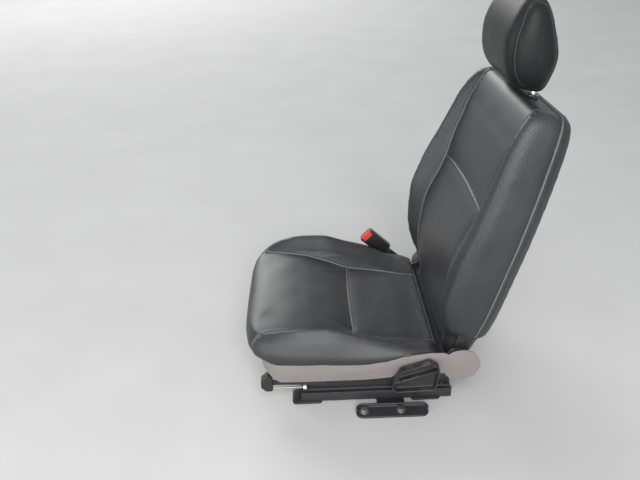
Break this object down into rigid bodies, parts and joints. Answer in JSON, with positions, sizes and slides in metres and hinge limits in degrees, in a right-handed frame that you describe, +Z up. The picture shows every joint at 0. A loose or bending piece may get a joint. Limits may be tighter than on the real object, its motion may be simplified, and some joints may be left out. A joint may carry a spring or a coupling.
{
  "type": "vehicle front seat",
  "caption": "Reclining front passenger seat from an ambulance cab: vinyl cushion, backrest and headrest on slide rails, with side skirt, recliner lever, slide lever and belt buckle.",
  "frame": {"origin": "centre of the floor bolt rectangle, on the floor", "axes": "+X outboard to the sitter's left, -Y the way the seat faces, +Z up"},
  "size_m": [0.565, 0.7119, 0.9379],
  "materials": {
    "vinyl": "charcoal vinyl, fine grain, satin",
    "skirt_plastic": "warm grey moulded plastic, fine texture",
    "black_plastic": "black moulded plastic, semi-gloss",
    "board_plastic": "dark textured board",
    "red_plastic": "red moulded plastic",
    "nylon": "white nylon",
    "black_steel": "black coated steel",
    "plated_steel": "zinc plated",
    "bright_steel": "polished"
  },
  "bodies": {
    "floor": {"foot_front_outboard": "black_steel", "foot_front_inboard": "black_steel", "foot_rear_outboard": "black_steel", "foot_rear_inboard": "black_steel", "lower_rail_outboard": "black_steel", "lower_rail_inboard": "black_steel", "anchor_bracket": "black_steel", "anchor_bolts": "plated_steel"},
    "seat": {"upper_rail_outboard": "black_steel", "upper_rail_inboard": "black_steel", "slide_shoes_outboard": "nylon", "slide_shoes_inboard": "nylon", "side_frame_outboard": "black_steel", "side_frame_inboard": "black_steel", "recliner_disc_outboard": "black_steel", "recliner_disc_inboard": "black_steel", "cross_tube_front": "black_steel", "cross_tube_rear": "black_steel", "cushion_pan": "black_steel", "cushion_pad": "vinyl", "side_skirt": "skirt_plastic", "hinge_cover": "skirt_plastic", "recliner_lever": "black_plastic", "slide_lever_arm": "black_steel", "slide_lever_knob": "black_plastic", "release_bar": "black_steel", "latch_rod": "plated_steel", "latch_clip": "nylon", "buckle_bracket": "black_steel"},
    "backrest": {"back_pad": "vinyl", "back_board": "board_plastic", "recliner_arm_outboard": "black_steel", "recliner_arm_inboard": "black_steel", "headrest_guide_outboard": "black_plastic", "headrest_guide_inboard": "black_plastic"},
    "headrest": {"headrest_pad": "vinyl", "headrest_post_outboard": "bright_steel", "headrest_post_inboard": "bright_steel"},
    "buckle": {"buckle_stalk": "black_steel", "buckle_housing": "black_plastic", "buckle_frame": "black_plastic", "buckle_cover": "black_plastic", "buckle_button": "red_plastic"}
  },
  "joints": [
    {"name": "seat_slide", "type": "slide", "parent": "floor", "child": "seat", "axis": [0, -1, 0], "range_m": [-0.04, 0.13]},
    {"name": "backrest_recline", "type": "hinge", "parent": "seat", "child": "backrest", "pos_m": [0, 0.226, 0.125], "axis": [1, 0, 0], "range_deg": [-42, 22]},
    {"name": "headrest_height", "type": "slide", "parent": "backrest", "child": "headrest", "axis": [0, 0.2385, 0.9711], "range_m": [0, 0.065]},
    {"name": "buckle_swing", "type": "hinge", "parent": "seat", "child": "buckle", "pos_m": [-0.267, 0.16, 0.1], "axis": [1, 0, 0], "range_deg": [-15, 10]}
  ]
}
